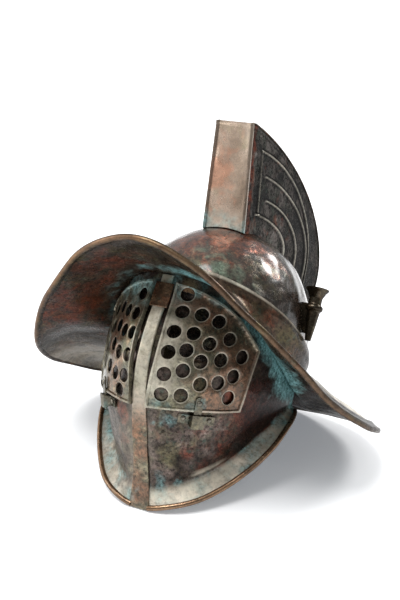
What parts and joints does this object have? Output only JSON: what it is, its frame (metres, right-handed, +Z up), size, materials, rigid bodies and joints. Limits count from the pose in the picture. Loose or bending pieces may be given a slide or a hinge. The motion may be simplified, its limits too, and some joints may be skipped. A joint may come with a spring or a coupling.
{
  "type": "gladiator helmet",
  "caption": "Hammered copper-alloy gladiator helmet with a wide flared brim, hollow box crest, pierced eye plates, cheek plates and plume sockets, lying tipped back.",
  "frame": {"origin": "middle of the bounding box on the floor that the helmet lies on", "axes": "+Z up, +X to the wearer's left, -Y to the front, with the helmet tipped back as it lies"},
  "size_m": [0.3858, 0.4232, 0.3503],
  "materials": {
    "patinated_bronze": "hammered, dark brown patina with red and green patches",
    "bright_copper": "rubbed copper edge",
    "crest_copper": "smooth copper with green grey stain at the foot",
    "pale_bronze": "worn pale bronze with verdigris",
    "dark_bronze": "dark brown bronze"
  },
  "bodies": {
    "root": {"skull": "patinated_bronze", "brim": "patinated_bronze", "brim_binding": "bright_copper", "crest_front": "crest_copper", "crest_ridge": "dark_bronze", "centre_band": "pale_bronze", "band_clip": "bright_copper", "crest_side_left": "dark_bronze", "visor_left": "patinated_bronze", "visor_binding_left": "bright_copper", "grille_left": "pale_bronze", "staple_left": "pale_bronze", "tongue_left": "pale_bronze", "plume_holder_left": "dark_bronze", "staple_rivet_inner_left": "dark_bronze", "staple_rivet_outer_left": "dark_bronze", "tongue_rivet_left": "dark_bronze", "crest_side_right": "dark_bronze", "visor_right": "patinated_bronze", "visor_binding_right": "bright_copper", "grille_right": "pale_bronze", "staple_right": "pale_bronze", "tongue_right": "pale_bronze", "plume_holder_right": "dark_bronze", "staple_rivet_inner_right": "dark_bronze", "staple_rivet_outer_right": "dark_bronze", "tongue_rivet_right": "dark_bronze"}
  },
  "joints": []
}
